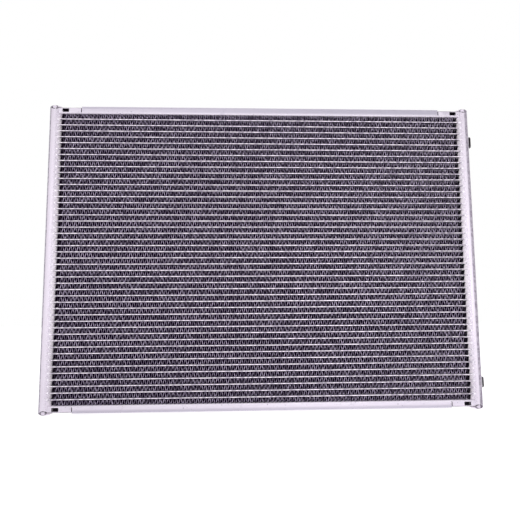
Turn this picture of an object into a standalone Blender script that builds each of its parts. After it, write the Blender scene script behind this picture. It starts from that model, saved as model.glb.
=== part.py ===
"""Parallel-flow air conditioning condenser, brazed aluminium, drawn upright.

Flat tubes run from one header pipe to the other, with a folded fin strip between each pair.
A channel-shaped side plate closes the core above and below. Its ends are folded shut into
small boxes, and a tongue on each end is brazed into the headers. Both ports are on the right
header, each in a saddle block shut by a transport plug.

Metres, +Z up, +X towards the ports, -Y the front. The origin is the middle of the lower side
plate's rear face, which lies in the plane where the condenser is held.
"""

import math

import bmesh
import bpy
from mathutils import Vector

# Core
TUBE_COUNT = 46
TUBE_THICKNESS = 0.0018
TUBE_WIDTH = 0.016
TUBE_NOSE = 0.00055
FIN_HEIGHT = 0.008
FIN_DEPTH = 0.0146
FIN_SHEET = 0.0003
FIN_LEGS = 14
FIN_END_SPACE = 0.002

# Headers
HEADER_SPACING = 0.668
HEADER_DIAMETER = 0.020
HEADER_WALL = 0.0012
HEADER_BELOW_PLATE = 0.0008
TUBE_END_TO_AXIS = 0.005
CAP_RIM = 0.0006
CAP_DOME = 0.003
CAP_SHOULDER = 0.0172
CAP_SHOULDER_DROP = 0.0009
CAP_CROWN = 0.011
CAP_SPIGOT = 0.004
BAFFLE_THICKNESS = 0.0015
TUBES_BELOW_BAFFLE = 18

# Side plates
PLATE_WIDTH = 0.017
PLATE_HEIGHT = 0.0115
PLATE_SHEET = 0.0012
PLATE_BEND = 0.002
END_BOX_LENGTH = 0.0325
END_BOX_STEP = 0.0008
END_BOX_LAP = 0.002
WINDOW_LENGTH = 0.0105
WINDOW_HEIGHT = 0.0058
WINDOW_TO_HEADER = 0.0015
WINDOW_TO_CORE = 0.003
WINDOW_CORNER = 0.001
RELIEF_WIDTH = 0.0016
TONGUE_WIDTH = 0.012
TONGUE_COINED = 0.0001
TONGUE_END_TO_AXIS = 0.004

# Ports: heights are measured from the side plate that each port is nearer to
INLET_BELOW_TOP = 0.0413
INLET_BORE = 0.012
INLET_PLUG = 0.0184
INLET_BLOCK_HEIGHT = 0.025
OUTLET_ABOVE_BOTTOM = 0.0257
OUTLET_BORE = 0.0095
OUTLET_PLUG = 0.0165
OUTLET_BLOCK_HEIGHT = 0.021
BLOCK_PROUD = 0.0013
BLOCK_THICKNESS = 0.012
BLOCK_CORNER = 0.004
PORT_BEHIND_AXIS = 0.006
PORT_TO_FRONT_EDGE = 0.0078
PORT_TO_BOLT = 0.0165
BOLT_TO_REAR_EDGE = 0.007
BOLT_HOLE = 0.006
PORT_DEPTH = 0.0068
PLUG_SEAT_DEPTH = 0.0005
PLUG_FLANGE = 0.0026
PLUG_CORNER = 0.0025
PLUG_RECESS = 0.0014
PLUG_RIM = 0.0036
PLUG_REACH = 0.0055
PLUG_EDGE = 0.0006

# Fits and facets
SEAT = 0.0003
SLOT_CLEARANCE = 0.0003
COPE_CLEARANCE = 0.0005
BRAZE_DEPTH = 0.0002
LAP_STEP = 0.00005
PAST = 0.002
SLOT_SIDE_DEGREES = 75
SLOT_SIDE_FACETS = 3
ROUND_SIDE_FACETS = 12
BEND_FACETS = 3
PORT_FACETS = 16
FIRST_CORNER = 202.5

# Sizes that follow
PITCH = TUBE_THICKNESS + FIN_HEIGHT
CORE_HEIGHT = TUBE_COUNT * PITCH + FIN_HEIGHT
PLATE_FACE = CORE_HEIGHT / 2
HEADER_RADIUS = HEADER_DIAMETER / 2
HEADER_BORE = HEADER_RADIUS - HEADER_WALL
HEADER_X = HEADER_SPACING / 2
HEADER_TOP = PLATE_FACE + PLATE_HEIGHT - HEADER_BELOW_PLATE
HEADER_SIDE_X = HEADER_X - HEADER_RADIUS
END_BOX_WIDTH = PLATE_WIDTH - 2 * END_BOX_STEP
END_BOX_HEIGHT = PLATE_HEIGHT - END_BOX_STEP
BLOCK_FACE_X = HEADER_X + HEADER_RADIUS + BLOCK_PROUD
HOLDING_FACE_UP = (PLATE_BEND + PLATE_HEIGHT) / 2


def clear_scene():
    for obj in list(bpy.data.objects):
        bpy.data.objects.remove(obj, do_unlink=True)


def surface(name, colour, roughness, metallic):
    """A Principled material with one colour, roughness and metallic value."""
    material = bpy.data.materials.new(name)
    material.use_nodes = True
    shader = material.node_tree.nodes["Principled BSDF"]
    shader.inputs["Base Color"].default_value = (*colour, 1)
    shader.inputs["Roughness"].default_value = roughness
    shader.inputs["Metallic"].default_value = metallic
    return material


def mesh_from(bm, name, smooth_degrees):
    """Closes a bmesh into a mesh, facing out, with edges sharper than the angle kept crisp."""
    bmesh.ops.recalc_face_normals(bm, faces=bm.faces)
    mesh = bpy.data.meshes.new(name)
    bm.to_mesh(mesh)
    bm.free()
    mesh.shade_smooth()
    mesh.set_sharp_from_angle(angle=math.radians(smooth_degrees))
    return mesh


def place(name, mesh, parent, material, location=(0, 0, 0), rotation=(0, 0, 0)):
    """One sub-part, placed under its parent."""
    obj = bpy.data.objects.new(name, mesh)
    bpy.context.scene.collection.objects.link(obj)
    obj.parent = parent
    obj.location = location
    obj.rotation_euler = rotation
    if material and not mesh.materials:
        mesh.materials.append(material)
    return obj


def helper(name, mesh, parent, location=(0, 0, 0)):
    """A shape that only cuts or joins, shown as wire and left out of the object."""
    obj = place(name, mesh, parent, None, location)
    obj.hide_render = True
    obj.display_type = "WIRE"
    return obj


def combine(obj, other, operation):
    modifier = obj.modifiers.new(f"{operation} {other.name}", "BOOLEAN")
    modifier.object = other
    modifier.operation = operation
    modifier.solver = "EXACT"


def baked(obj):
    """The mesh of an object with its modifiers applied."""
    graph = bpy.context.evaluated_depsgraph_get()
    mesh = bpy.data.meshes.new_from_object(obj.evaluated_get(graph))
    mesh.name = obj.name
    return mesh


def arc(centre, radius, start, end, steps):
    """Points on an arc, angles in degrees, both ends included."""
    turns = [math.radians(start + (end - start) * i / steps) for i in range(steps + 1)]
    return [(centre[0] + radius * math.cos(t), centre[1] + radius * math.sin(t)) for t in turns]


def rounded_rectangle(low, high, radius):
    """An outline with four rounded corners, anticlockwise from its low left corner."""
    outline = []
    corners = (
        (low[0] + radius, low[1] + radius, 180),
        (high[0] - radius, low[1] + radius, 270),
        (high[0] - radius, high[1] - radius, 0),
        (low[0] + radius, high[1] - radius, 90),
    )
    for a, b, start in corners:
        outline += arc((a, b), radius, start, start + 90, BEND_FACETS)
    return outline


def along(axis, point, distance):
    """The point of an outline at a distance along the axis that the outline is drawn across."""
    a, b = point
    return {"X": (distance, a, b), "Y": (a, distance, b), "Z": (a, b, distance)}[axis]


def add_prism(bm, outline, axis, start, end):
    """Extrudes an outline from start to end along an axis."""
    face = bm.faces.new([bm.verts.new(along(axis, p, start)) for p in outline])
    grown = bmesh.ops.extrude_face_region(bm, geom=[face])["geom"]
    tops = [item for item in grown if isinstance(item, bmesh.types.BMVert)]
    bmesh.ops.translate(bm, verts=tops, vec=Vector(along(axis, (0, 0), end - start)))


def prism(name, outline, axis, start, end, smooth_degrees=30):
    bm = bmesh.new()
    add_prism(bm, outline, axis, start, end)
    return mesh_from(bm, name, smooth_degrees)


def hollow_prism(name, outer, inner, axis, start, end, smooth_degrees=40):
    """Extrudes the ring between two outlines that have the same number of points."""
    bm = bmesh.new()
    rings = [
        [bm.verts.new(along(axis, p, distance)) for p in outline]
        for outline, distance in ((outer, start), (outer, end), (inner, end), (inner, start))
    ]
    for ring, following in zip(rings, rings[1:] + rings[:1]):
        for i, corner in enumerate(ring):
            j = (i + 1) % len(ring)
            bm.faces.new((corner, ring[j], following[j], following[i]))
    return mesh_from(bm, name, smooth_degrees)


def stacked(name, sections, smooth_degrees=40):
    """Lofts a solid through outlines stacked along Z, each given with its height."""
    bm = bmesh.new()
    rings = [[bm.verts.new((a, b, height)) for a, b in outline] for outline, height in sections]
    for ring, following in zip(rings, rings[1:]):
        for i, corner in enumerate(ring):
            j = (i + 1) % len(ring)
            bm.faces.new((corner, ring[j], following[j], following[i]))
    bm.faces.new(rings[0])
    bm.faces.new(rings[-1])
    return mesh_from(bm, name, smooth_degrees)


def header_section(radius):
    """The pipe's round outline, with wide facets where the slots are cut and fine ones behind."""
    slot_step = 2 * SLOT_SIDE_DEGREES / SLOT_SIDE_FACETS
    round_step = (360 - 2 * SLOT_SIDE_DEGREES) / ROUND_SIDE_FACETS
    angles = [slot_step * i - SLOT_SIDE_DEGREES for i in range(SLOT_SIDE_FACETS)]
    angles += [SLOT_SIDE_DEGREES + round_step * i for i in range(ROUND_SIDE_FACETS)]
    turns = [math.radians(angle) for angle in angles]
    return [(radius * math.cos(t), radius * math.sin(t)) for t in turns]


def tube_height(index):
    """Height of a tube's middle above the core's middle, counted from the lowest tube."""
    return FIN_HEIGHT + TUBE_THICKNESS / 2 + index * PITCH - CORE_HEIGHT / 2


def tube_mesh():
    """A flat tube with chamfered noses, which reaches through the slots into both headers."""
    half = TUBE_WIDTH / 2
    flat = half - TUBE_NOSE
    top = TUBE_THICKNESS / 2
    side = top - TUBE_NOSE
    right = [(flat, -top), (half, -side), (half, side), (flat, top)]
    left = [(-a, -b) for a, b in right]
    reach = HEADER_X - TUBE_END_TO_AXIS
    return prism("tube", right + left, "X", -reach, reach)


def fin_strip_mesh():
    """A strip folded up and down, standing at height 0, with both end feet sunk to be brazed on."""
    half = HEADER_SIDE_X - FIN_END_SPACE
    crest = FIN_HEIGHT - SEAT - FIN_SHEET
    lower = []
    for i in range(FIN_LEGS + 1):
        on_foot = i in (0, FIN_LEGS)
        valley = -BRAZE_DEPTH if on_foot else SEAT
        lower.append((half * (2 * i / FIN_LEGS - 1), crest if i % 2 else valley))
    upper = [(x, z + FIN_SHEET) for x, z in reversed(lower)]
    return prism("fin strip", lower + upper, "Y", -FIN_DEPTH / 2, FIN_DEPTH / 2, 5)


def build_core(frame, metal):
    """Every tube with the fin strip above it brazed on, lowest first, on one shared mesh."""
    pattern = helper("tube_and_fins", tube_mesh(), frame)
    strip = helper("fin_strip", fin_strip_mesh(), frame, (0, 0, TUBE_THICKNESS / 2))
    combine(pattern, strip, "UNION")
    mesh = baked(pattern)
    bpy.data.objects.remove(pattern)
    for index in range(TUBE_COUNT):
        name = f"tube_and_fins_{index + 1:02d}"
        place(name, mesh, frame, metal, (0, 0, tube_height(index)))
    return strip


def slot_cutter_mesh():
    """One box for each tube's slot and one for each side plate's tongue, from axis to core."""
    bm = bmesh.new()
    slots = [(tube_height(i), TUBE_THICKNESS, TUBE_WIDTH) for i in range(TUBE_COUNT)]
    web_middle = PLATE_FACE + PLATE_SHEET / 2
    slots += [(side * web_middle, PLATE_SHEET, TONGUE_WIDTH) for side in (-1, 1)]
    for height, thickness, width in slots:
        half = thickness / 2 + SLOT_CLEARANCE
        across = width / 2 + SLOT_CLEARANCE
        outline = [(-across, height - half), (across, height - half)]
        outline += [(across, height + half), (-across, height + half)]
        add_prism(bm, outline, "X", 0, HEADER_RADIUS + PAST)
    return mesh_from(bm, "slots", 30)


def cap_mesh():
    """A stamped cap: a spigot inside the pipe, a rim on its end and a low dome on top."""
    spigot = header_section(HEADER_BORE - SEAT)
    rim = header_section(HEADER_RADIUS)
    crown = SEAT + CAP_RIM + CAP_DOME
    sections = [(spigot, -CAP_SPIGOT), (spigot, SEAT), (rim, SEAT), (rim, SEAT + CAP_RIM)]
    sections.append((header_section(CAP_SHOULDER / 2), crown - CAP_SHOULDER_DROP))
    sections.append((header_section(CAP_CROWN / 2), crown))
    return stacked("cap", sections)


def build_header(frame, metal, name, turn):
    """A slotted pipe at one end of the core, with a cap in each end; turn faces it to the core."""
    outer = header_section(HEADER_RADIUS)
    inner = header_section(HEADER_BORE)
    pipe = hollow_prism(name, outer, inner, "Z", -HEADER_TOP, HEADER_TOP)
    x = -HEADER_X * math.cos(turn)
    header = place(name, pipe, frame, metal, (x, 0, 0), (0, 0, turn))
    combine(header, helper(f"{name}_slots", slot_cutter_mesh(), header), "DIFFERENCE")
    cap = cap_mesh()
    place(f"{name}_top_cap", cap, header, metal, (0, 0, HEADER_TOP))
    place(f"{name}_bottom_cap", cap, header, metal, (0, 0, -HEADER_TOP), (math.pi, 0, 0))
    return header


def build_baffle(header, metal):
    """The partition that parts the inlet's tubes from the outlet's, inside the right header."""
    outline = header_section(HEADER_BORE - SEAT)
    half = BAFFLE_THICKNESS / 2
    middle = tube_height(TUBES_BELOW_BAFFLE) - PITCH / 2
    disc = prism("baffle", outline, "Z", middle - half, middle + half, 40)
    place("right_header_baffle", disc, header, metal)


def channel_outline():
    """The side plate's section, open outwards: web at height 0, flanges up to PLATE_HEIGHT."""
    half = PLATE_WIDTH / 2
    inside = PLATE_BEND - PLATE_SHEET
    bend = half - PLATE_BEND
    outer = arc((-bend, PLATE_BEND), PLATE_BEND, 180, 270, BEND_FACETS)
    outer += arc((bend, PLATE_BEND), PLATE_BEND, 270, 360, BEND_FACETS)
    inner = arc((bend, PLATE_BEND), inside, 360, 270, BEND_FACETS)
    inner += arc((-bend, PLATE_BEND), inside, 270, 180, BEND_FACETS)
    far = [(half, PLATE_HEIGHT), (half - PLATE_SHEET, PLATE_HEIGHT)]
    near = [(PLATE_SHEET - half, PLATE_HEIGHT), (-half, PLATE_HEIGHT)]
    return outer + far + inner + near


def mirrored_outline(outline, side):
    return [(a, side * b) for a, b in outline]


def end_box_outline(inset, side):
    """The section of a plate's boxed end, or of its hollow when inset by the sheet."""
    half = END_BOX_WIDTH / 2 - inset
    low = (-half, LAP_STEP + inset)
    high = (half, END_BOX_HEIGHT - inset)
    return mirrored_outline(rounded_rectangle(low, high, PLATE_BEND - inset), side)


def relief_outline():
    """The slit between a flange's end and the box, from above the web's bend out to the open side."""
    start = HEADER_SIDE_X - END_BOX_LENGTH
    low = PLATE_BEND + PLATE_SHEET / 2
    high = PLATE_HEIGHT + PAST
    return [(start, low), (start + RELIEF_WIDTH, low), (start + RELIEF_WIDTH, high), (start, high)]


def build_end_box(plate, end, side):
    """A plate's folded end: a box coped round the header, with a window in its front wall."""
    name = f"{plate.name}_{'left' if end < 0 else 'right'}_box"
    reach = sorted((end * (HEADER_SIDE_X - END_BOX_LENGTH - END_BOX_LAP), end * HEADER_X))
    mesh = hollow_prism(name, end_box_outline(0, side), end_box_outline(PLATE_SHEET, side), "X", *reach)
    box = helper(name, mesh, plate)

    cope = prism("cope", header_section(HEADER_RADIUS + COPE_CLEARANCE), "Z", -HEADER_TOP, HEADER_TOP)
    cutter = helper(f"{name}_cope", cope, plate, (end * HEADER_X, 0, 0))
    cutter.rotation_euler = (0, 0, math.pi if end > 0 else 0)
    combine(box, cutter, "DIFFERENCE")

    near_header = HEADER_SIDE_X - WINDOW_TO_HEADER
    low = (near_header - WINDOW_LENGTH, WINDOW_TO_CORE)
    high = (near_header, WINDOW_TO_CORE + WINDOW_HEIGHT)
    opening = [(end * a, side * b) for a, b in rounded_rectangle(low, high, WINDOW_CORNER)]
    window = prism("window", opening, "Y", -PLATE_WIDTH, -END_BOX_WIDTH / 4)
    combine(box, helper(f"{name}_window", window, plate), "DIFFERENCE")

    notch = [(end * a, side * b) for a, b in relief_outline()]
    relief = prism("relief", notch, "Y", -PLATE_WIDTH, PLATE_WIDTH)
    combine(box, helper(f"{name}_relief", relief, plate), "DIFFERENCE")
    return box


def build_side_plate(frame, metal, name, side, fin_strip=None):
    """A folded channel with boxed ends and a tongue into each header; side is 1 above, -1 below."""
    channel_end = HEADER_SIDE_X - END_BOX_LENGTH
    mesh = prism(name, mirrored_outline(channel_outline(), side), "X", -channel_end, channel_end, 40)
    plate = place(name, mesh, frame, metal, (0, 0, side * PLATE_FACE))
    for end in (-1, 1):
        combine(plate, build_end_box(plate, end, side), "UNION")

    across = TONGUE_WIDTH / 2
    web = sorted((side * TONGUE_COINED, side * (PLATE_SHEET - TONGUE_COINED)))
    section = [(-across, web[0]), (across, web[0]), (across, web[1]), (-across, web[1])]
    reach = HEADER_X - TONGUE_END_TO_AXIS
    tongue = prism("tongue", section, "X", -reach, reach)
    combine(plate, helper(f"{name}_tongue", tongue, plate), "UNION")
    if fin_strip:
        fin_strip.parent = plate
        fin_strip.location = (0, 0, 0)
        combine(plate, fin_strip, "UNION")


def round_outline(radius, start=0):
    """A circle of PORT_FACETS points, the first at an angle in degrees."""
    return arc((0, 0), radius, start, start + 360, PORT_FACETS)[:-1]


def square_outline(half):
    """A square with rounded corners, which has as many points as a circle here."""
    return rounded_rectangle((-half, -half), (half, half), PLUG_CORNER)


def plug_mesh(name, bore, across):
    """A moulded plug: a round spigot, and a square flange with a shallow recess in its face."""
    spigot = bore / 2 - SEAT
    rim = across / 2
    face = SEAT + PLUG_FLANGE
    sections = [
        (round_outline(spigot - PLUG_EDGE, FIRST_CORNER), -PLUG_REACH),
        (round_outline(spigot, FIRST_CORNER), PLUG_EDGE - PLUG_REACH),
        (round_outline(spigot, FIRST_CORNER), SEAT),
        (square_outline(rim), SEAT),
        (square_outline(rim), face - PLUG_EDGE),
        (square_outline(rim - PLUG_EDGE), face),
        (square_outline(rim - PLUG_RIM), face),
        (square_outline(rim - PLUG_RIM), face - PLUG_RECESS),
    ]
    return stacked(name, sections)


def drill_mesh(diameter, start, end):
    return prism("drill", round_outline(diameter / 2), "X", start, end)


def build_port(frame, metal, plastic, header, name, height, bore, plug, block_height):
    """A saddle block on the right header, drilled and milled for the pipe, and its plug."""
    low = (-PORT_TO_FRONT_EDGE, -block_height / 2)
    high = (PORT_TO_BOLT + BOLT_TO_REAR_EDGE, block_height / 2)
    outline = rounded_rectangle(low, high, BLOCK_CORNER)
    body = prism(f"{name} block", outline, "X", -BLOCK_THICKNESS, 0, 40)
    port_place = (BLOCK_FACE_X, PORT_BEHIND_AXIS, height)
    block = place(f"{name}_port_block", body, frame, metal, port_place)

    section = header_section(HEADER_RADIUS + SEAT)
    saddle = prism("saddle", section, "Z", -block_height, block_height)
    cutter = helper(f"{name}_saddle", saddle, frame, (HEADER_X, 0, height))
    cutter.rotation_euler = (0, 0, math.pi)
    combine(block, cutter, "DIFFERENCE")

    drill = helper(f"{name}_bore", drill_mesh(bore, -PORT_DEPTH, PAST), frame, port_place)
    combine(block, drill, "DIFFERENCE")
    combine(header, drill, "DIFFERENCE")
    plug_seat = prism("plug seat", square_outline(plug / 2 + SEAT), "X", -PLUG_SEAT_DEPTH, PAST)
    combine(block, helper(f"{name}_plug_seat", plug_seat, block), "DIFFERENCE")
    bolt = helper(f"{name}_bolt_hole", drill_mesh(BOLT_HOLE, -BLOCK_THICKNESS - PAST, PAST), block)
    bolt.location = (0, PORT_TO_BOLT, 0)
    combine(block, bolt, "DIFFERENCE")

    seat = (BLOCK_FACE_X - PLUG_SEAT_DEPTH, PORT_BEHIND_AXIS, height)
    mesh = plug_mesh(f"{name} plug", bore, plug)
    place(f"{name}_port_plug", mesh, frame, plastic, seat, (0, math.pi / 2, 0))


def build_condenser():
    clear_scene()
    aluminium = surface("brazed aluminium", (0.80, 0.78, 0.83), 0.42, 0.9)
    fin_stock = surface("fin stock", (0.42, 0.40, 0.45), 0.5, 0.85)
    plastic = surface("black plastic", (0.02, 0.02, 0.022), 0.45, 0.0)

    frame = bpy.data.objects.new("core_middle", None)
    bpy.context.scene.collection.objects.link(frame)
    frame.location = (0, -PLATE_WIDTH / 2, PLATE_FACE + HOLDING_FACE_UP)

    strip = build_core(frame, fin_stock)
    build_header(frame, aluminium, "left_header", 0)
    right = build_header(frame, aluminium, "right_header", math.pi)
    build_baffle(right, aluminium)
    build_side_plate(frame, aluminium, "top_side_plate", 1)
    build_side_plate(frame, aluminium, "bottom_side_plate", -1, strip)
    build_port(
        frame, aluminium, plastic, right, "inlet",
        PLATE_FACE - INLET_BELOW_TOP, INLET_BORE, INLET_PLUG, INLET_BLOCK_HEIGHT,
    )
    build_port(
        frame, aluminium, plastic, right, "outlet",
        OUTLET_ABOVE_BOTTOM - PLATE_FACE, OUTLET_BORE, OUTLET_PLUG, OUTLET_BLOCK_HEIGHT,
    )


build_condenser()
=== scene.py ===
"""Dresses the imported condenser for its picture: brazed aluminium on a plain pale floor."""

import math

import bmesh
import bpy
import numpy as np
from mathutils import Matrix, Vector, noise


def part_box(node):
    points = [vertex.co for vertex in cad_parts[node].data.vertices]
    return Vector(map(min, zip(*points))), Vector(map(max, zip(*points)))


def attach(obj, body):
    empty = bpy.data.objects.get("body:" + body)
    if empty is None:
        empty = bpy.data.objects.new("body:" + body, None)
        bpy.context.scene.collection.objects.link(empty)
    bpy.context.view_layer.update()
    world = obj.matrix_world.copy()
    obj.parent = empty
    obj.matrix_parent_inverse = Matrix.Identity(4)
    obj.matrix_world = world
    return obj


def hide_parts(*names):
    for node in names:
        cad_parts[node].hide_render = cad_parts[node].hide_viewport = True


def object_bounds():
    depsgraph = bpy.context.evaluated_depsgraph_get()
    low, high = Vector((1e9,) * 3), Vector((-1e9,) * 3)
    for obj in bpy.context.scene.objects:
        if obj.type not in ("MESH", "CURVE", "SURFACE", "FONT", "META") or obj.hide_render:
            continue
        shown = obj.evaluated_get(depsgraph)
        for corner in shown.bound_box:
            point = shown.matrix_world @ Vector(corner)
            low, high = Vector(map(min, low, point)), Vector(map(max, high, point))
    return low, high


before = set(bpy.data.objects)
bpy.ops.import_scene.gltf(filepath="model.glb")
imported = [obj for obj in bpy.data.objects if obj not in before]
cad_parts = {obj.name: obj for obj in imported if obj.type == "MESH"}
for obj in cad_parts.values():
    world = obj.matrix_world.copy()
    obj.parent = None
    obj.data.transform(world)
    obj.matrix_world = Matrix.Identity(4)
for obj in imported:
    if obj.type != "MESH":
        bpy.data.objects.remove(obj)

packed_low, packed_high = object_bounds()
scene = bpy.context.scene


# The viewer stands in front of the core, a little left of its middle and below it, and looks
# slightly up through a wide lens, as a hand-held catalogue picture is taken. Angles are in degrees,
# and the lens's focal length is in pixels of the square picture.
VIEWER_SPOT = (-0.0389, -0.7934, 0.1413)
VIEWER_TILT = 6.31
VIEWER_ROLL = 0.44
VIEWER_HEADING = -2.39
PICTURE_SIDE = 520
LENS_PIXELS = 494
SENSOR_WIDTH = 36

camera_data = bpy.data.cameras.new("viewer")
camera_data.sensor_width = SENSOR_WIDTH
camera_data.lens = LENS_PIXELS / PICTURE_SIDE * SENSOR_WIDTH
camera = bpy.data.objects.new("viewer", camera_data)
camera.location = VIEWER_SPOT
camera.rotation_euler = [math.radians(a) for a in (90 + VIEWER_TILT, VIEWER_ROLL, VIEWER_HEADING)]
scene.collection.objects.link(camera)
scene.camera = camera
scene.view_settings.view_transform = "Standard"


# Flat tubes: aluminium extrusions with a row of small channels inside and fully round noses.
# Each is pushed through the slots of both headers and brazed there. Their noses stay bright in patches, and
# further in they are painted near black, which is painted shade for the depth of the core between the fins.
TUBE_THICKNESS = 0.0018
TUBE_NOSE_STEPS = 6
TUBE_NOSE_REACH = 0.0010
TUBE_SHADED = (0.50, 0.44, 0.55)
TUBE_BRIGHT = (0.98, 0.90, 1.0)
TUBE_PAINTED_SHADE = (0.06, 0.045, 0.08)
TUBE_PATCHES = {"Scale": 260.0, "Detail": 3.0, "From": 0.38, "To": 0.60}
TUBE_METALLIC = 0.45
TUBE_ROUGHNESS = (0.34, 0.55)
TUBE_GRAIN_SCALE = 1500.0
TUBE_GRAIN_HEIGHT = 0.00005

tube_nodes = sorted(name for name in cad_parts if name.startswith("tube_and_fins_"))
tube_low, tube_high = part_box(tube_nodes[0])
tube_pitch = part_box(tube_nodes[1])[0].z - tube_low.z
tube_half_width = (tube_high.y - tube_low.y) / 2
tube_heights = [tube_low.z + TUBE_THICKNESS / 2 + i * tube_pitch for i in range(len(tube_nodes))]
core_middle = (tube_low.y + tube_high.y) / 2
fin_height = tube_pitch - TUBE_THICKNESS


def node_output(tree, kind, name, settings, sources):
    """Adds a node, sets it up, feeds its inputs from sockets or plain values, gives one output."""
    node = tree.nodes.new(kind)
    for key, value in settings.items():
        setattr(node, key, value)
    for key, source in sources.items():
        if isinstance(source, bpy.types.NodeSocket):
            tree.links.new(source, node.inputs[key])
        else:
            node.inputs[key].default_value = source
    return node.outputs[name]


def reckon(tree, operation, *values):
    """The result of a Math node on sockets or numbers."""
    return node_output(tree, "ShaderNodeMath", 0, {"operation": operation}, dict(enumerate(values)))


def product(tree, first, *others):
    """Several masks or shares multiplied together."""
    for other in others:
        first = reckon(tree, "MULTIPLY", first, other)
    return first


def opposite(tree, mask):
    """1 where the mask is 0, and 0 where it is 1."""
    return reckon(tree, "SUBTRACT", 1.0, mask)


def distance(tree, value, centre):
    """How far a value is from a centre, whichever side it is on."""
    return reckon(tree, "ABSOLUTE", reckon(tree, "SUBTRACT", value, centre))


def ramp(tree, value, low, high, start=0.0, end=1.0):
    """Carries a value from low..high over to start..end, smoothly, and holds it there."""
    settings = {"interpolation_type": "SMOOTHSTEP"}
    sources = {"Value": value, "From Min": low, "From Max": high, "To Min": start, "To Max": end}
    return node_output(tree, "ShaderNodeMapRange", "Result", settings, sources)


def blended(tree, mask, first, second):
    """The first colour where the mask is 0, the second where it is 1; sockets or red, green, blue."""
    colours = [c if isinstance(c, bpy.types.NodeSocket) else (*c, 1.0) for c in (first, second)]
    sources = {0: mask, 6: colours[0], 7: colours[1]}
    return node_output(tree, "ShaderNodeMix", 2, {"data_type": "RGBA"}, sources)


def place_in_object(tree):
    """The point being shaded, in metres in the condenser's own frame."""
    return node_output(tree, "ShaderNodeNewGeometry", "Position", {}, {})


def coordinate(tree, axis):
    """Where the point being shaded is along one axis, X, Y or Z, in metres."""
    return node_output(tree, "ShaderNodeSeparateXYZ", axis, {}, {"Vector": place_in_object(tree)})


def clouds(tree, point, scale, detail=3.0):
    """Soft random patches, about 0.3 to 0.7, with the given number of them to a metre."""
    sources = {"Vector": point, "Scale": scale, "Detail": detail}
    return node_output(tree, "ShaderNodeTexNoise", "Fac", {"noise_dimensions": "3D"}, sources)


def new_mask_group(name, values):
    """A shader node group with named values in and one mask out; gives its tree and its sockets."""
    tree = bpy.data.node_groups.new(name, "ShaderNodeTree")
    for label, value in values.items():
        socket = tree.interface.new_socket(label, in_out="INPUT", socket_type="NodeSocketFloat")
        socket.default_value = value
    tree.interface.new_socket("Mask", in_out="OUTPUT", socket_type="NodeSocketFloat")
    given = tree.nodes.new("NodeGroupInput").outputs
    return tree, given, tree.nodes.new("NodeGroupOutput").inputs["Mask"]


def use_group(tree, group, values):
    """The mask of a node group that is placed in a material with its own values."""
    return node_output(tree, "ShaderNodeGroup", "Mask", {"node_tree": group}, values)


# How near a point of the core is to its front or back: 1 from the edge to Full, 0 from Reach in.
core_edge, given, result = new_mask_group("core edge", {"Half Depth": 0.008, "Full": 0.0, "Reach": 0.002})
from_middle = distance(core_edge, coordinate(core_edge, "Y"), core_middle)
from_edge = reckon(core_edge, "SUBTRACT", given["Half Depth"], from_middle)
core_edge.links.new(opposite(core_edge, ramp(core_edge, from_edge, given["Full"], given["Reach"])), result)

# Patches of uneven brightness, dust or wear: 0 under From in the clouds, 1 over To.
patches, given, result = new_mask_group("patches", {"Scale": 200.0, "Detail": 3.0, "From": 0.35, "To": 0.65})
cloud = clouds(patches, place_in_object(patches), given["Scale"], given["Detail"])
patches.links.new(ramp(patches, cloud, given["From"], given["To"]), result)


def new_surface(name, metallic):
    """A material; gives it with its node tree and its Principled shader."""
    material = bpy.data.materials.new(name)
    material.use_nodes = True
    shader = material.node_tree.nodes["Principled BSDF"]
    shader.inputs["Metallic"].default_value = metallic
    return material, material.node_tree, shader


def roughen(tree, shader, mask, shares):
    """Roughness between two shares, the first where the mask is 0 and the second where it is 1."""
    tree.links.new(ramp(tree, mask, 0.0, 1.0, *shares), shader.inputs["Roughness"])


def raise_surface(tree, shader, height, full_height):
    """Feeds a height, in shares of a full height in metres, to the shader as relief."""
    sources = {"Height": height, "Distance": full_height, "Strength": 1.0}
    tree.links.new(node_output(tree, "ShaderNodeBump", "Normal", {}, sources), shader.inputs["Normal"])


tube_metal, tree, shader = new_surface("tube metal", TUBE_METALLIC)
nose = use_group(tree, core_edge, {"Half Depth": tube_half_width, "Reach": TUBE_NOSE_REACH})
bright = use_group(tree, patches, TUBE_PATCHES)
nose_colour = blended(tree, bright, TUBE_SHADED, TUBE_BRIGHT)
# Away from the noses the tube is painted near black: painted shade for the inside of the core.
tree.links.new(blended(tree, nose, TUBE_PAINTED_SHADE, nose_colour), shader.inputs["Base Color"])
roughen(tree, shader, bright, TUBE_ROUGHNESS)
raise_surface(tree, shader, clouds(tree, place_in_object(tree), TUBE_GRAIN_SCALE), TUBE_GRAIN_HEIGHT)


def add_piece(name, mesh, material, slot, *replaced):
    """Puts one piece into the scene, on the condenser's body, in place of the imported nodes."""
    piece = bpy.data.objects.new(name, mesh)
    scene.collection.objects.link(piece)
    if not mesh.materials:
        mesh.materials.append(material)
    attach(piece, "root")
    if replaced:
        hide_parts(*replaced)
    return piece


def mesh_of(bm, name, smooth_degrees):
    """Closes a bmesh into a mesh facing out, with edges sharper than the angle kept crisp."""
    bmesh.ops.recalc_face_normals(bm, faces=bm.faces)
    mesh = bpy.data.meshes.new(name)
    bm.to_mesh(mesh)
    bm.free()
    mesh.shade_smooth()
    mesh.set_sharp_from_angle(angle=math.radians(smooth_degrees))
    return mesh


def skin_rings(bm, rings):
    """Faces between each ring of corners and the next; the rings have the same number of corners."""
    for ring, following in zip(rings, rings[1:]):
        for i, corner in enumerate(ring):
            j = (i + 1) % len(ring)
            bm.faces.new((corner, ring[j], following[j], following[i]))


def joined_rings(name, rings, closed_ends, smooth_degrees=40):
    """Skins a row of rings of points; the first and the last are filled or left open."""
    bm = bmesh.new()
    corners = [[bm.verts.new(point) for point in ring] for ring in rings]
    skin_rings(bm, corners)
    if closed_ends:
        bm.faces.new(corners[0])
        bm.faces.new(corners[-1])
    return mesh_of(bm, name, smooth_degrees)


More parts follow.
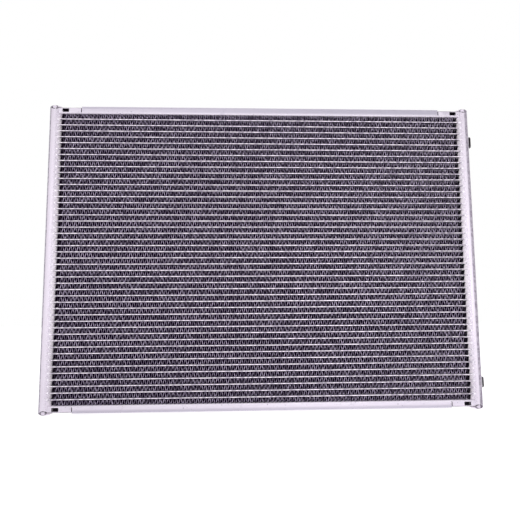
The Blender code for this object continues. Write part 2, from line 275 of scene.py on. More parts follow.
def tube_outline():
    """The tube's section, depth and height from its own middle, with half-round noses."""
    radius = TUBE_THICKNESS / 2
    points = []
    for side in (1, -1):
        for i in range(TUBE_NOSE_STEPS + 1):
            turn = side * math.pi * (i / TUBE_NOSE_STEPS - 0.5)
            out = tube_half_width - radius + radius * math.cos(turn)
            points.append((side * out, side * radius * math.sin(turn)))
    return points


tube_ends = [[(x, y, side * z) for y, z in tube_outline()] for x, side in ((tube_low.x, 1), (tube_high.x, 1))]
tube_mesh = joined_rings("flat_tube", tube_ends, True)
for i, node in enumerate(tube_nodes):
    tube = add_piece(f"flat_tube_{i + 1:02d}", tube_mesh, tube_metal, "tube_and_fin", node)
    tube.location = (0, core_middle, tube_heights[i])


# Fin strips: thin aluminium sheet folded up and down between two tubes and brazed to both.
# Each leg runs straight in from the face and then bends aside and back again, with louvres cut
# across it, so that no air goes straight through. Handling has pushed the folds about a little.
FIN_FOLDS = 208
FIN_END_SPACE = 0.0016
FIN_SLANT = 0.0047
FIN_SLANT_FADE = 3.5
FIN_DEPTH = 0.0146
FIN_SHEET = 0.00028
FIN_BEND = 0.0006
FIN_WAVE = 0.00050
FIN_SPLAY = 0.00075
FIN_PUSHED = 0.00030
FIN_PUSHED_WAVES = (0.02, 0.15)
FIN_JITTER = 0.00025
FIN_JITTER_WAVES = (0.007, 0.02)
FIN_LEAN = 0.00020
FIN_LEAN_WAVES = (0.03, 0.2)
FIN_FIRST_SEED = 100
FIN_LIGHT = (0.74, 0.63, 0.86)
FIN_HAZED = (0.20, 0.162, 0.246)
FIN_CREST_SHADE = (0.12, 0.095, 0.145)
FIN_PAINTED_SHADE = (0.010, 0.004, 0.016)
FIN_CREST_REACH = 0.0014
FIN_LIGHT_FULL = 0.0009
FIN_LIGHT_REACH = 0.0013
FIN_SHADED_BY_HEADER = 0.0058
FIN_LIT_SHARE_BY_HEADER = 0.1
FIN_PATCHES = {"Scale": 220.0, "Detail": 4.0, "From": 0.36, "To": 0.62}
FIN_METALLIC = 0.1
FIN_ROUGHNESS = 0.5
LOUVRE_PITCH = 0.0011
LOUVRE_SLIT = 0.00015
LOUVRE_HEIGHT = 0.0002
HEADER_RADIUS = 0.010

left_low, left_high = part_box("left_header")
right_low, right_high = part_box("right_header")
left_axis = left_low.x + HEADER_RADIUS
right_axis = right_high.x - HEADER_RADIUS
fin_start = left_axis + HEADER_RADIUS + FIN_END_SPACE
fin_end = right_axis - HEADER_RADIUS - FIN_END_SPACE
fold_spacing = (fin_end - fin_start) / FIN_FOLDS

fin_metal, tree, shader = new_surface("fin stock", FIN_METALLIC)
shader.inputs["Specular IOR Level"].default_value = 0.0
shader.inputs["Roughness"].default_value = FIN_ROUGHNESS
# The fin colour is painted light and shade: painted light at the front and back edges, painted shade inside
# the core, and darker painted shade at the crests beside the tubes and next to the headers.
light_colour = blended(tree, use_group(tree, patches, FIN_PATCHES), FIN_LIGHT, FIN_HAZED)
above_tube = reckon(tree, "SUBTRACT", coordinate(tree, "Z"), tube_heights[0])
from_tube = reckon(tree, "PINGPONG", above_tube, tube_pitch / 2)
crest_shade = ramp(tree, from_tube, TUBE_THICKNESS / 2, TUBE_THICKNESS / 2 + FIN_CREST_REACH, 1.0, 0.0)
light_colour = blended(tree, crest_shade, light_colour, FIN_CREST_SHADE)
edge_reach = {"Half Depth": FIN_DEPTH / 2, "Full": FIN_LIGHT_FULL, "Reach": FIN_LIGHT_REACH}
from_middle = reckon(tree, "ABSOLUTE", coordinate(tree, "X"))
lit_by_header = ramp(tree, from_middle, fin_end - FIN_SHADED_BY_HEADER, fin_end - FIN_SHADED_BY_HEADER / 2, 1.0, FIN_LIT_SHARE_BY_HEADER)
lit = product(tree, use_group(tree, core_edge, edge_reach), lit_by_header)
# Dark lines at the louvre pitch are painted shade for the louvre slits, with a matching relief.
louvre = reckon(tree, "PINGPONG", coordinate(tree, "Y"), LOUVRE_PITCH / 2)
slit = ramp(tree, louvre, 0.0, LOUVRE_SLIT)
fin_colour = blended(tree, lit, FIN_PAINTED_SHADE, light_colour)
tree.links.new(blended(tree, slit, FIN_PAINTED_SHADE, fin_colour), shader.inputs["Base Color"])
raise_surface(tree, shader, reckon(tree, "DIVIDE", louvre, LOUVRE_PITCH / 2), LOUVRE_HEIGHT)


def fold_line():
    """The strip's middle line, (x, z) points from end to end, four to each leg, with cut corners."""
    top = fin_height - FIN_SHEET / 2
    bottom = FIN_SHEET / 2
    line = []
    for leg in range(FIN_FOLDS + 1):
        x = fin_start + leg * fold_spacing
        here, there = (bottom, top) if leg % 2 == 0 else (top, bottom)
        turn = FIN_BEND if here < there else -FIN_BEND
        first, last = x - FIN_SPLAY, x + FIN_SPLAY
        line += [(first - FIN_BEND, here), (first, here + turn)]
        line += [(last, there - turn), (last + FIN_BEND, there)]
    return np.array(line[1:-1])


def fin_strip_points():
    """Corners of the folded sheet as an array of stations in depth, points on the line, two sides.

    The slant fades out over the last few legs, which keeps them clear of the right header."""
    line = fold_line()
    along = np.gradient(line, axis=0)
    along /= np.linalg.norm(along, axis=1)[:, None]
    across = np.stack([-along[:, 1], along[:, 0]], axis=1) * FIN_SHEET / 2
    half = FIN_DEPTH / 2
    wave = [(-half, 0), (FIN_WAVE - half, FIN_WAVE), (2 * FIN_WAVE - half, 0)]
    stations = wave + [(FIN_WAVE, FIN_SLANT), (half, 0)]
    room = np.clip((fin_end - line[:, 0]) / (FIN_SLANT_FADE * fold_spacing), 0, 1)
    points = np.zeros((len(stations), len(line), 2, 3))
    for s, (depth_in, aside) in enumerate(stations):
        for side, sign in enumerate((1, -1)):
            points[s, :, side, 0] = line[:, 0] + sign * across[:, 0] + aside * room
            points[s, :, side, 1] = core_middle + depth_in
            points[s, :, side, 2] = line[:, 1] + sign * across[:, 1]
    return points


def grid_faces(numbers):
    """Quads between the neighbours of a grid of vertex numbers."""
    corners = [numbers[:-1, :-1], numbers[1:, :-1], numbers[1:, 1:], numbers[:-1, 1:]]
    return np.stack(corners, -1).reshape(-1, 4)


def fin_strip_faces(shape):
    """Quads over both sides of the sheet, its front and back edges and its two ends."""
    numbers = np.arange(shape[0] * shape[1] * shape[2]).reshape(shape[:3])
    skins = [grid_faces(numbers[:, :, 0]), grid_faces(numbers[:, ::-1, 1])]
    skins += [grid_faces(numbers[0, :, ::-1]), grid_faces(numbers[-1])]
    skins += [grid_faces(numbers[:, 0, ::-1]), grid_faces(numbers[:, -1])]
    return np.concatenate(skins)


def wander(x, random, shortest, longest, waves=7):
    """A smooth unevenness along the strip, mostly from -1 to 1, of waves between two lengths."""
    lengths = random.uniform(shortest, longest, waves)
    starts = random.uniform(0, math.tau, waves)
    swing = sum(np.sin(x * math.tau / length + start) for length, start in zip(lengths, starts))
    return swing / math.sqrt(waves)


strip_points = fin_strip_points()
strip_faces = fin_strip_faces(strip_points.shape).tolist()
for row in range(len(tube_nodes) + 1):
    random = np.random.RandomState(FIN_FIRST_SEED + row)
    points = strip_points.reshape(-1, 3).copy()
    x, height = points[:, 0], points[:, 2] / fin_height
    points[:, 0] += FIN_PUSHED * wander(x, random, *FIN_PUSHED_WAVES)
    points[:, 0] += FIN_JITTER * wander(x, random, *FIN_JITTER_WAVES)
    points[:, 0] += FIN_LEAN * (height - 0.5) * wander(x, random, *FIN_LEAN_WAVES)
    points[:, 2] += tube_low.z + TUBE_THICKNESS + (row - 1) * tube_pitch
    strip_mesh = bpy.data.meshes.new(f"fin_strip_{row + 1:02d}")
    strip_mesh.from_pydata(points.tolist(), [], strip_faces)
    stood_for = tube_nodes[row - 1] if row else "bottom_side_plate"
    add_piece(f"fin_strip_{row + 1:02d}", strip_mesh, fin_metal, "tube_and_fin", stood_for)


# Headers: round aluminium pipes, clad with braze alloy and slotted for the flat tubes, with the side towards
# the core pressed a little flatter. They come out of the furnace pale and satin, hazed with dried flux and
# specked on the side of the slots. The flank that faces the core is painted light, and the outer front is
# painted darker in uneven patches as painted shade.
HEADER_WALL = 0.0012
HEADER_STEPS = 144
HEADER_CORNER = math.radians(20)
HEADER_CORNER_REACH = 1.045
HEADER_ROUND_FROM = math.radians(75)
HEADER_EDGE = 0.0003
HEADER_METAL = (0.78, 0.70, 0.83)
HEADER_HAZED = (0.90, 0.825, 0.94)
HEADER_FLANK_PAINTED_LIGHT = (1.0, 0.93, 1.0)
HEADER_OUTER_SHADE = (0.34, 0.30, 0.38)
HEADER_HAZE = {"Scale": 55.0, "Cover": 0.6}
HEADER_SPECKS = {"Scale": 700.0, "Size": 0.5, "Cover": 0.66}
HEADER_SHADE_PATCHES = {"Scale": 260.0, "Detail": 4.0, "From": 0.35, "To": 0.65}
HEADER_METALLIC = 0.3
HEADER_SPECULAR = 0.2
HEADER_ROUGHNESS = (0.36, 0.58)
HEADER_GRAIN_SCALE = 900.0
HEADER_GRAIN_DETAIL = 5.0
HEADER_GRAIN_HEIGHT = 0.00012
SPECK_COLOUR = (0.20, 0.17, 0.22)
FLANK_LIGHTENED = (0.0090, 0.0040)
LEFT_OUTER_SHADE = (0.0048, 0.0068)
RIGHT_OUTER_SHADE = (0.0010, 0.0030)
FRONT_OUTER_SHADE = (0.0040, 0.0015)
SHADE_PATCHES_LEAST = 0.55
SPECKS_FADE = 0.003
SPECKS_ELSEWHERE = 0.2
SPECKS_ON_OUTER_SHADE = 0.8
SPECKS_STRENGTH = 0.7
DARK_SEAM_AND_GROOVE_SHADE = (0.06, 0.045, 0.07)
SEAM_FULL = 0.0004
SEAM_REACH = 0.0011
SEAM_STRENGTH = 0.6
SEAM_BREAKS = {"Scale": 330.0, "Detail": 2.0, "From": 0.32, "To": 0.54}
STAKE_HALF_WIDTH = 0.0046
STAKE_HALF_HEIGHT = 0.0030
STAKE_CLEAR = (0.8, 1.0)
STAKE_GROOVE_SHADE = (0.2, 0.65)

# Dried flux: a pale uneven haze with a finer grain in it, over more of the surface with more Cover.
HAZE_GRAIN_FINER = 14.0
HAZE_GRAIN_SHARE = 0.35
HAZE_THRESHOLD = 1.15
HAZE_EDGE = 0.18

flux_haze, given, result = new_mask_group("flux haze", {"Scale": 60.0, "Cover": 0.5})
point = place_in_object(flux_haze)
broad = clouds(flux_haze, point, given["Scale"])
grain = clouds(flux_haze, point, product(flux_haze, given["Scale"], HAZE_GRAIN_FINER))
uneven = reckon(flux_haze, "MULTIPLY_ADD", grain, HAZE_GRAIN_SHARE, broad)
threshold = reckon(flux_haze, "SUBTRACT", HAZE_THRESHOLD, given["Cover"])
haze_start = reckon(flux_haze, "SUBTRACT", threshold, HAZE_EDGE)
flux_haze.links.new(ramp(flux_haze, uneven, haze_start, threshold), result)

# Small dark specks in patches, as spatter, nicks and pin holes leave on brazed aluminium.
SPECK_PATCH_FINER = 0.3
SPECK_PATCH_EDGE = (0.95, 1.05)

dark_specks, given, result = new_mask_group("dark specks", {"Scale": 400.0, "Size": 0.2, "Cover": 0.4})
point = place_in_object(dark_specks)
to_speck = node_output(
    dark_specks, "ShaderNodeTexVoronoi", "Distance", {}, {"Vector": point, "Scale": given["Scale"]}
)
spot = opposite(dark_specks, ramp(dark_specks, to_speck, 0.0, given["Size"]))
crowd = clouds(dark_specks, point, product(dark_specks, given["Scale"], SPECK_PATCH_FINER))
crowd_edge = [reckon(dark_specks, "SUBTRACT", level, given["Cover"]) for level in SPECK_PATCH_EDGE]
dark_specks.links.new(product(dark_specks, spot, ramp(dark_specks, crowd, *crowd_edge)), result)

header_metal, tree, shader = new_surface("header metal", HEADER_METALLIC)
shader.inputs["Specular IOR Level"].default_value = HEADER_SPECULAR
along = coordinate(tree, "X")
from_middle = reckon(tree, "ABSOLUTE", along)

# Dried flux all over the pipe, with the flank that faces the core painted near white: painted light that
# lifts the shade on that flank.
haze = use_group(tree, flux_haze, HEADER_HAZE)
flank = ramp(tree, from_middle, *(right_axis - out for out in FLANK_LIGHTENED), 1.0, 0.0)
hazed_with_lit_flank = blended(tree, flank, blended(tree, haze, HEADER_METAL, HEADER_HAZED), HEADER_FLANK_PAINTED_LIGHT)

# Painted shade down the front of the outer side, darker in uneven patches.
left_outer = ramp(tree, along, *(left_axis - out for out in LEFT_OUTER_SHADE))
right_outer = ramp(tree, along, *(right_axis + out for out in RIGHT_OUTER_SHADE))
in_front = ramp(tree, coordinate(tree, "Y"), *(core_middle - out for out in FRONT_OUTER_SHADE), 1.0, 0.0)
outer_front = product(tree, reckon(tree, "MAXIMUM", left_outer, right_outer), in_front)
shade_and_scuff_patches = use_group(tree, patches, HEADER_SHADE_PATCHES)
shade_and_scuff_patches = reckon(tree, "MULTIPLY_ADD", shade_and_scuff_patches, 1.0 - SHADE_PATCHES_LEAST, SHADE_PATCHES_LEAST)
outer_shaded = blended(tree, product(tree, outer_front, shade_and_scuff_patches), hazed_with_lit_flank, HEADER_OUTER_SHADE)

# Specks on the side of the slots and on the painted shade of the outer front, with fewer elsewhere.
by_slots = ramp(tree, from_middle, right_axis - SPECKS_FADE, right_axis, 1.0, SPECKS_ELSEWHERE)
specked = reckon(tree, "MAXIMUM", by_slots, product(tree, outer_front, SPECKS_ON_OUTER_SHADE))
specks = product(tree, use_group(tree, dark_specks, HEADER_SPECKS), specked, SPECKS_STRENGTH)
specked_colour = blended(tree, specks, outer_shaded, SPECK_COLOUR)

# The dark seam where a cap sits on the pipe, broken by braze alloy, and an oval stake mark across it, drawn
# as a ring of painted shade round a dimple that the mesh does not have.
pipe_middle = (left_low.z + left_high.z) / 2
pipe_half_length = (left_high.z - left_low.z) / 2
from_seam = distance(tree, distance(tree, coordinate(tree, "Z"), pipe_middle), pipe_half_length)
in_seam = ramp(tree, from_seam, SEAM_FULL, SEAM_REACH, SEAM_STRENGTH, 0.0)
stake_across = reckon(tree, "DIVIDE", distance(tree, from_middle, right_axis), STAKE_HALF_WIDTH)
stake_up = reckon(tree, "DIVIDE", from_seam, STAKE_HALF_HEIGHT)
oval = reckon(tree, "ADD", reckon(tree, "POWER", stake_across, 2.0), reckon(tree, "POWER", stake_up, 2.0))
groove_shade = ramp(tree, distance(tree, oval, 1.0), *STAKE_GROOVE_SHADE, 1.0, 0.0)
seam_and_groove_shade = reckon(tree, "MAXIMUM", product(tree, in_seam, ramp(tree, oval, *STAKE_CLEAR)), groove_shade)
seam_and_groove_shade = product(tree, seam_and_groove_shade, use_group(tree, patches, SEAM_BREAKS))
tree.links.new(blended(tree, seam_and_groove_shade, specked_colour, DARK_SEAM_AND_GROOVE_SHADE), shader.inputs["Base Color"])
roughen(tree, shader, haze, HEADER_ROUGHNESS)
grain = clouds(tree, place_in_object(tree), HEADER_GRAIN_SCALE, HEADER_GRAIN_DETAIL)
raise_surface(tree, shader, grain, HEADER_GRAIN_HEIGHT)


def skin_share(turn):
    """How far out the pipe's skin is, in radii, at an angle from the way to the core.

    The skin is flat up to the corner, runs straight from there and is round past the far angle."""
    turn = abs((turn + math.pi) % math.tau - math.pi)
    if turn < HEADER_CORNER:
        return HEADER_CORNER_REACH * math.cos(HEADER_CORNER) / math.cos(turn)
    if turn > HEADER_ROUND_FROM:
        return 1.0
    slope = math.sin(HEADER_ROUND_FROM - turn) + HEADER_CORNER_REACH * math.sin(turn - HEADER_CORNER)
    return HEADER_CORNER_REACH * math.sin(HEADER_ROUND_FROM - HEADER_CORNER) / slope


def header_ring(axis_x, way, radius, height):
    """A level outline of the pipe about its axis; way is the side, along X, that the core is on."""
    points = []
    for i in range(HEADER_STEPS):
        turn = math.tau * i / HEADER_STEPS
        out = radius * skin_share(turn)
        points.append((axis_x + way * out * math.cos(turn), core_middle + out * math.sin(turn), height))
    return points


def header_pipe(name, axis_x, way, low, high):
    """A pipe with eased edges, open at both ends."""
    bore = HEADER_RADIUS - HEADER_WALL
    eased = HEADER_RADIUS - HEADER_EDGE
    path = [(bore, low), (eased, low), (HEADER_RADIUS, low + HEADER_EDGE)]
    path += [(HEADER_RADIUS, high - HEADER_EDGE), (eased, high), (bore, high), (bore, low)]
    rings = [header_ring(axis_x, way, radius, height) for radius, height in path]
    return joined_rings(name, rings, False, smooth_degrees=60)


headers = (("left", left_axis, 1), ("right", right_axis, -1))
for side, axis_x, way in headers:
    name = f"{side}_header_pipe"
    mesh = header_pipe(name, axis_x, way, left_low.z, left_high.z)
    add_piece(name, mesh, header_metal, "header_pipe", f"{side}_header")


# Header caps: pressed aluminium cups, pushed into each end of a header and brazed. Their rim
# stands on the pipe's end and the middle is pressed out into a low dome.
CAP_SPIGOT = 0.002
CAP_SEAM = 0.0003
CAP_RIM = 0.0006
CAP_RIM_EDGE = 0.0002
CAP_DOME_STEPS = 8
CAP_FULLNESS = 0.6


def cap_profile(seat, crown, up):
    """Radii and heights from the spigot's foot, out along the rim and up to the crown."""
    foot = seat + up * CAP_RIM
    inside = HEADER_RADIUS - HEADER_WALL - CAP_SEAM
    profile = [(inside, seat - up * CAP_SPIGOT), (inside, seat)]
    profile += [(HEADER_RADIUS - CAP_RIM_EDGE, seat), (HEADER_RADIUS, seat + up * CAP_RIM_EDGE)]
    for i in range(CAP_DOME_STEPS + 1):
        turn = math.pi / 2 * i / (CAP_DOME_STEPS + 1)
        radius = HEADER_RADIUS * math.cos(turn) ** CAP_FULLNESS
        profile.append((radius, foot + (crown - foot) * math.sin(turn)))
    return profile


for side, axis_x, way in headers:
    for end, up in (("top", 1), ("bottom", -1)):
        node = f"{side}_header_{end}_cap"
        cap_low, cap_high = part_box(node)
        crown = cap_high.z if up > 0 else cap_low.z
        seat = (left_high.z if up > 0 else left_low.z) + up * CAP_SEAM
        rings = [header_ring(axis_x, way, *station) for station in cap_profile(seat, crown, up)]
        add_piece(f"{node}_pressing", joined_rings(node, rings, True), header_metal, "header_pipe", node)


# Braze fillets: the alloy that ran into the joint round every flat tube where it enters a header.
# They are smooth, bright and a little uneven.
FILLET_SIZE = 0.0006
FILLET_FLAT_STEPS = 9
FILLET_NOSE_STEPS = 4
FILLET_UNEVENNESS = 0.5
FILLET_LUMPS_SCALE = 400
FILLET_METAL = (0.86, 0.82, 0.90)
FILLET_HAZED = (0.95, 0.92, 0.97)
FILLET_HAZE = {"Scale": 160.0, "Cover": 0.6}
FILLET_METALLIC = 0.3
FILLET_ROUGHNESS = (0.28, 0.5)

fillet_metal, tree, shader = new_surface("braze alloy", FILLET_METALLIC)
haze = use_group(tree, flux_haze, FILLET_HAZE)
tree.links.new(blended(tree, haze, FILLET_METAL, FILLET_HAZED), shader.inputs["Base Color"])
roughen(tree, shader, haze, FILLET_ROUGHNESS)


def slot_outline(half_width, half_height):
    """Points round a flat tube's section: flat above and below, and round at the noses."""
    flat = half_width - half_height
    points = []
    for side in (1, -1):
        for i in range(FILLET_FLAT_STEPS):
            points.append((side * flat * (2 * i / FILLET_FLAT_STEPS - 1), -side * half_height))
        for i in range(FILLET_NOSE_STEPS):
            turn = math.pi * (i / FILLET_NOSE_STEPS - 0.5)
            out = flat + half_height * math.cos(turn)
            points.append((side * out, side * half_height * math.sin(turn)))
    return points


def skin_reach(y):
    """How far the header's skin is from its axis, towards the core, at a depth y from the axis."""
    corner = Vector((math.cos(HEADER_CORNER), math.sin(HEADER_CORNER))) * HEADER_RADIUS * HEADER_CORNER_REACH
    far = Vector((math.cos(HEADER_ROUND_FROM), math.sin(HEADER_ROUND_FROM))) * HEADER_RADIUS
    share = max(0.0, (abs(y) - corner.y) / (far.y - corner.y))
    return corner.x + share * (far.x - corner.x)


def add_fillet(bm, axis_x, way, height):
    """A band of alloy from the tube's skin to the header's, all the way round the slot."""
    rings = []
    for grown, lifted in ((0.0, -FILLET_SIZE), (0.0, FILLET_SIZE), (FILLET_SIZE, 0.0)):
        corners = []
        for y, z in slot_outline(tube_half_width + grown, TUBE_THICKNESS / 2 + grown):
            lumps = noise.noise(Vector((y, z + height, axis_x)) * FILLET_LUMPS_SCALE)
            out = skin_reach(y) + lifted * (1 + FILLET_UNEVENNESS * lumps)
            corners.append(bm.verts.new((axis_x + way * out, core_middle + y, height + z)))
        rings.append(corners)
    skin_rings(bm, rings + rings[:1])


for side, axis_x, way in headers:
    bm = bmesh.new()
    for height in tube_heights:
        add_fillet(bm, axis_x, way, height)
    mesh = mesh_of(bm, "fillets", smooth_degrees=60)
    add_piece(f"{side}_header_fillets", mesh, fillet_metal, "header_pipe")


# Header partition: a plain aluminium disc brazed across the inside of the right header, which
# sends the refrigerant back through the lower tubes. Nothing of it shows.
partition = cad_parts["right_header_baffle"].data
partition.materials.clear()
partition.materials.append(header_metal)


# Side plates: channels of aluminium sheet that close the core above and below. Their ends are
# folded shut into boxes with a window in front, and a tongue on each end is brazed into a header.
# The colour grows darker towards the free edges, the upper plate's more so towards the right.
END_BOX_LENGTH = 0.0325
END_BOX_STEP = 0.0008
END_BOX_LIP = 0.0013
PLATE_SHEET = 0.0012
PLATE_HEIGHT = 0.0115
PLATE_EDGE = 0.00025
PLATE_METAL = (0.62, 0.57, 0.67)
PLATE_HAZED = (0.77, 0.71, 0.81)
PLATE_EDGE_DARKER = (0.46, 0.43, 0.52)
PLATE_DARK = (0.03, 0.02, 0.035)
LIP_SHADE = (0.20, 0.17, 0.21)
PLATE_HAZE = {"Scale": 35.0, "Cover": 0.6}
PLATE_SPECKS = {"Scale": 260.0, "Size": 0.3, "Cover": 0.45}
PLATE_SPECKS_STRENGTH = 0.5
PLATE_NICKS = {"Scale": 90.0, "Size": 0.14, "Cover": 0.66}
PLATE_NICKS_STRENGTH = 0.8
PLATE_SKIN = {"Full": 0.0002, "Reach": 0.0006}
EDGE_DARKENED = (0.0065, 0.0020)
EDGE_DARK_SHARE = 0.7
TOP_DARKENED = (0.0108, 0.0060)
TOP_DARK_SHARE = 0.8
TOP_DARK_LEFT = 0.35
TOP_DARK_RIGHT = 1.1
LIP_SHADE_PATCHES = {"Scale": 90.0, "Detail": 2.0, "From": 0.35, "To": 0.6}
LIP_LEAST = 0.2
LIP_MOST = 0.9
PLATE_METALLIC = 0.3
PLATE_SPECULAR = 0.2
PLATE_ROUGHNESS = (0.34, 0.56)
ROLLED_STRETCH = (0.06, 1.0, 1.0)
ROLLED_SCALE = 1400.0
ROLLED_DETAIL = 4.0
ROLLED_HEIGHT = 0.00006

plate_low, plate_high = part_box("top_side_plate")
plate_half_width = (plate_high.y - plate_low.y) / 2
core_height_middle = (plate_high.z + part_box("bottom_side_plate")[0].z) / 2
free_edge = plate_high.z - core_height_middle


def stretched_clouds(tree, stretch, scale, detail=3.0):
    """Clouds drawn out along one axis, as rolling and milling leave them."""
    sources = {0: place_in_object(tree), 1: stretch}
    point = node_output(tree, "ShaderNodeVectorMath", "Vector", {"operation": "MULTIPLY"}, sources)
    return clouds(tree, point, scale, detail)


plate_metal, tree, shader = new_surface("side plate metal", PLATE_METALLIC)
shader.inputs["Specular IOR Level"].default_value = PLATE_SPECULAR
along = coordinate(tree, "X")
in_box = reckon(tree, "GREATER_THAN", reckon(tree, "ABSOLUTE", along), right_low.x - END_BOX_LENGTH)
over_core = reckon(tree, "SUBTRACT", coordinate(tree, "Z"), core_height_middle)
from_core = reckon(tree, "ABSOLUTE", over_core)

# Dried flux, specks and a few larger nicks.
haze = use_group(tree, flux_haze, PLATE_HAZE)
pale = blended(tree, haze, PLATE_METAL, PLATE_HAZED)
specks = product(tree, use_group(tree, dark_specks, PLATE_SPECKS), PLATE_SPECKS_STRENGTH)
nicks = product(tree, use_group(tree, dark_specks, PLATE_NICKS), PLATE_NICKS_STRENGTH)
pale = blended(tree, nicks, blended(tree, specks, pale, SPECK_COLOUR), SPECK_COLOUR)

# Darker along the free edge, between the boxed ends.
darkened = ramp(tree, from_core, *(free_edge - down for down in EDGE_DARKENED), 0.0, EDGE_DARK_SHARE)
darkened_top = ramp(tree, over_core, *(free_edge - down for down in TOP_DARKENED), 0.0, TOP_DARK_SHARE)
to_right = ramp(tree, along, left_axis, right_axis / 2, TOP_DARK_LEFT, TOP_DARK_RIGHT)
darkened = reckon(tree, "MAXIMUM", darkened, product(tree, darkened_top, to_right))
pale = blended(tree, product(tree, darkened, opposite(tree, in_box)), pale, PLATE_EDGE_DARKER)

# Painted shade along the lip of a boxed end, just under its lid, uneven in patches.
lip_start = free_edge - END_BOX_STEP - END_BOX_LIP
lip = ramp(tree, from_core, lip_start, lip_start + END_BOX_LIP / 2)
lip_shade_patches = use_group(tree, patches, LIP_SHADE_PATCHES)
lip_shade_patches = reckon(tree, "MULTIPLY_ADD", lip_shade_patches, LIP_MOST - LIP_LEAST, LIP_LEAST)
pale = blended(tree, product(tree, lip, in_box, lip_shade_patches), pale, LIP_SHADE)

# The inside of a boxed end, which no light reaches.
lid = free_edge - END_BOX_STEP - PLATE_SHEET
web = free_edge - PLATE_HEIGHT
near_skin = use_group(tree, core_edge, {"Half Depth": plate_half_width - END_BOX_STEP, **PLATE_SKIN})
under_lid = ramp(tree, from_core, lid, lid + PLATE_SHEET / 2, 1.0, 0.0)
over_web = ramp(tree, from_core, web + PLATE_SHEET / 2, web + PLATE_SHEET)
inside = product(tree, in_box, opposite(tree, near_skin), under_lid, over_web)
tree.links.new(blended(tree, inside, pale, PLATE_DARK), shader.inputs["Base Color"])
roughen(tree, shader, haze, PLATE_ROUGHNESS)
rolled = stretched_clouds(tree, ROLLED_STRETCH, ROLLED_SCALE, ROLLED_DETAIL)
raise_surface(tree, shader, rolled, ROLLED_HEIGHT)


# Edges sharper than this many degrees are rounded, in this many steps.
EASED_FROM = 50
EASED_STEPS = 2
WELD_REACH = 0.00001


def ease_edges(piece, width):
    """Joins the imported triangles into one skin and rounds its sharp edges."""
    weld = piece.modifiers.new("one skin", "WELD")
    weld.merge_threshold = WELD_REACH
    bevel = piece.modifiers.new("eased edges", "BEVEL")
    bevel.width = width
    bevel.segments = EASED_STEPS
    bevel.limit_method = "ANGLE"
    bevel.angle_limit = math.radians(EASED_FROM)
    bevel.harden_normals = True


def dress_packed(node, material, edge_width):
    """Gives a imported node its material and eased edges."""
    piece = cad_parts[node]
    piece.data.materials.clear()
    piece.data.materials.append(material)
    ease_edges(piece, edge_width)


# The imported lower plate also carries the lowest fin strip, so the piece that shows in its place
# is the upper plate's mirror image.
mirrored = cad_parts["top_side_plate"].data.copy()
turned_over = Matrix.Translation((0, 0, 2 * core_height_middle)) @ Matrix.Scale(-1, 4, (0, 0, 1))
mirrored.transform(turned_over)
mirrored.flip_normals()
mirrored.materials.clear()
bottom_plate = add_piece("bottom_plate", mirrored, plate_metal, "side_plate", "bottom_side_plate")
ease_edges(bottom_plate, PLATE_EDGE)
dress_packed("top_side_plate", plate_metal, PLATE_EDGE)


# Port blocks: sawn aluminium bar, saddled to the header and brazed, then drilled, tapped and milled
# with a square seat at the port. Fine cutter marks show through a thin haze of flux.
BLOCK_METAL = (0.80, 0.77, 0.83)
BLOCK_HAZED = (0.90, 0.87, 0.93)
BLOCK_EDGE = 0.0003
BLOCK_HAZE = {"Scale": 120.0, "Cover": 0.45}
BLOCK_SPECKS = {"Scale": 500.0, "Size": 0.25, "Cover": 0.4}
BLOCK_SPECKS_STRENGTH = 0.5
BLOCK_METALLIC = 0.6
BLOCK_ROUGHNESS = (0.26, 0.42)
CUTTER_STRETCH = (1.0, 0.05, 1.0)
CUTTER_SCALE = 2600.0
CUTTER_RANGE = (0.3, 0.7)
CUTTER_HEIGHT = 0.00004

block_metal, tree, shader = new_surface("port block metal", BLOCK_METALLIC)
haze = use_group(tree, flux_haze, BLOCK_HAZE)
specks = product(tree, use_group(tree, dark_specks, BLOCK_SPECKS), BLOCK_SPECKS_STRENGTH)
pale = blended(tree, haze, BLOCK_METAL, BLOCK_HAZED)
tree.links.new(blended(tree, specks, pale, SPECK_COLOUR), shader.inputs["Base Color"])
cutter_marks = stretched_clouds(tree, CUTTER_STRETCH, CUTTER_SCALE)
tree.links.new(ramp(tree, cutter_marks, *CUTTER_RANGE, *BLOCK_ROUGHNESS), shader.inputs["Roughness"])
raise_surface(tree, shader, cutter_marks, CUTTER_HEIGHT)
for node in ("inlet_port_block", "outlet_port_block"):
    dress_packed(node, block_metal, BLOCK_EDGE)


# Transport plugs: black plastic mouldings pushed into the ports to keep dirt out until the pipes
# are fitted. Each has a square flange that rests in the milled seat and is dished in the middle.
PLUG_EDGE = 0.0003
PLUG_BLACK = (0.014, 0.010, 0.016)
PLUG_SCUFFED = (0.034, 0.028, 0.037)
PLUG_SPECULAR = 0.15
PLUG_ROUGHNESS = (0.38, 0.55)
PLUG_SCUFFS_SCALE = 700.0
PLUG_SCUFFS_DETAIL = 4.0
PLUG_SCUFFS_RANGE = (0.3, 0.7)
PLUG_GRAIN_SCALE = 3000.0
PLUG_GRAIN_HEIGHT = 0.00003

plug_plastic, tree, shader = new_surface("black plastic", 0.0)
shader.inputs["Specular IOR Level"].default_value = PLUG_SPECULAR
shade_and_scuff_patches = clouds(tree, place_in_object(tree), PLUG_SCUFFS_SCALE, PLUG_SCUFFS_DETAIL)
tree.links.new(blended(tree, shade_and_scuff_patches, PLUG_BLACK, PLUG_SCUFFED), shader.inputs["Base Color"])
tree.links.new(ramp(tree, shade_and_scuff_patches, *PLUG_SCUFFS_RANGE, *PLUG_ROUGHNESS), shader.inputs["Roughness"])
raise_surface(tree, shader, clouds(tree, place_in_object(tree), PLUG_GRAIN_SCALE), PLUG_GRAIN_HEIGHT)
for node in ("inlet_port_plug", "outlet_port_plug"):
    dress_packed(node, plug_plastic, PLUG_EDGE)


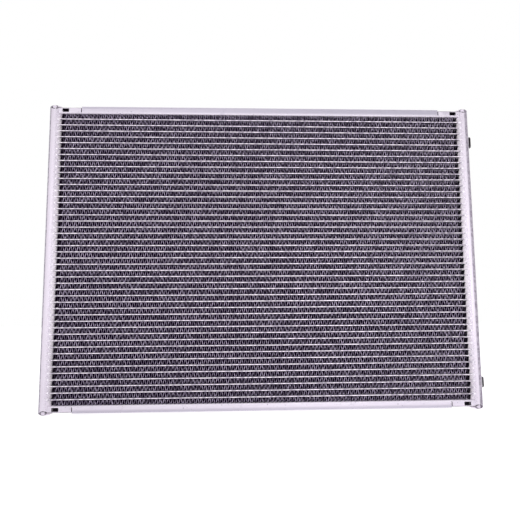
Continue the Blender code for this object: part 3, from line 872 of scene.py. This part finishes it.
# The studio: a plain pale floor just under the condenser, a white surround that only the eye and
# reflections see, soft daylight from all sides and three broad lamps in front. Each lamp has a
# place, the side of its square and a power in watts.
FLOOR_SIDE = 12.0
FLOOR_GAP = 0.0003
FLOOR_COLOUR = (0.86, 0.86, 0.86)
FLOOR_MOTTLE = (0.88, 0.88, 0.88)
FLOOR_MOTTLE_SCALE = 3.0
FLOOR_ROUGHNESS = 0.9
FLOOR_LIFT = 0.78
WHITE = (1.0, 1.0, 1.0, 1.0)
SURROUND_LIGHT = 0.52
LAMPS = (
    ("upper lamp", (-0.9, -2.4, 1.4), 1.8, 14.0),
    ("side lamp", (0.7, -2.5, 0.6), 1.6, 1.6),
    ("near lamp", (0.20, -0.72, 0.15), 0.35, 1.9),
)


def seen_share(tree):
    """1 for rays from the eye, reflections and through glass, 0 for light that falls on things."""
    path = tree.nodes.new("ShaderNodeLightPath")
    seen = reckon(tree, "MAXIMUM", path.outputs["Is Camera Ray"], path.outputs["Is Glossy Ray"])
    return reckon(tree, "MAXIMUM", seen, path.outputs["Is Transmission Ray"])


floor_paint, tree, shader = new_surface("floor paint", 0.0)
shader.inputs["Roughness"].default_value = FLOOR_ROUGHNESS
shader.inputs["Specular IOR Level"].default_value = 0.0
shader.inputs["Emission Color"].default_value = WHITE
mottle = clouds(tree, place_in_object(tree), FLOOR_MOTTLE_SCALE)
tree.links.new(blended(tree, mottle, FLOOR_COLOUR, FLOOR_MOTTLE), shader.inputs["Base Color"])
tree.links.new(product(tree, seen_share(tree), FLOOR_LIFT), shader.inputs["Emission Strength"])

floor_height = packed_low.z - FLOOR_GAP
floor_corners = [(x * FLOOR_SIDE / 2, y * FLOOR_SIDE / 2) for x, y in ((-1, -1), (1, -1), (1, 1), (-1, 1))]
floor_mesh = bpy.data.meshes.new("floor")
floor_mesh.from_pydata([(x, y, floor_height) for x, y in floor_corners], [], [(0, 1, 2, 3)])
floor_mesh.materials.append(floor_paint)
floor = bpy.data.objects.new("floor", floor_mesh)
scene.collection.objects.link(floor)

world = bpy.data.worlds.new("surround")
world.use_nodes = True
scene.world = world
tree = world.node_tree
background = tree.nodes["Background"]
background.inputs["Color"].default_value = WHITE
strength = ramp(tree, seen_share(tree), 0.0, 1.0, SURROUND_LIGHT, 1.0)
tree.links.new(strength, background.inputs["Strength"])

object_centre = (packed_low + packed_high) / 2
for name, spot, side, power in LAMPS:
    lamp_data = bpy.data.lights.new(name, "AREA")
    lamp_data.shape = "SQUARE"
    lamp_data.size = side
    lamp_data.energy = power
    lamp = bpy.data.objects.new(name, lamp_data)
    lamp.location = spot
    lamp.visible_camera = False
    lamp.rotation_euler = (object_centre - Vector(spot)).to_track_quat("-Z", "Y").to_euler()
    scene.collection.objects.link(lamp)
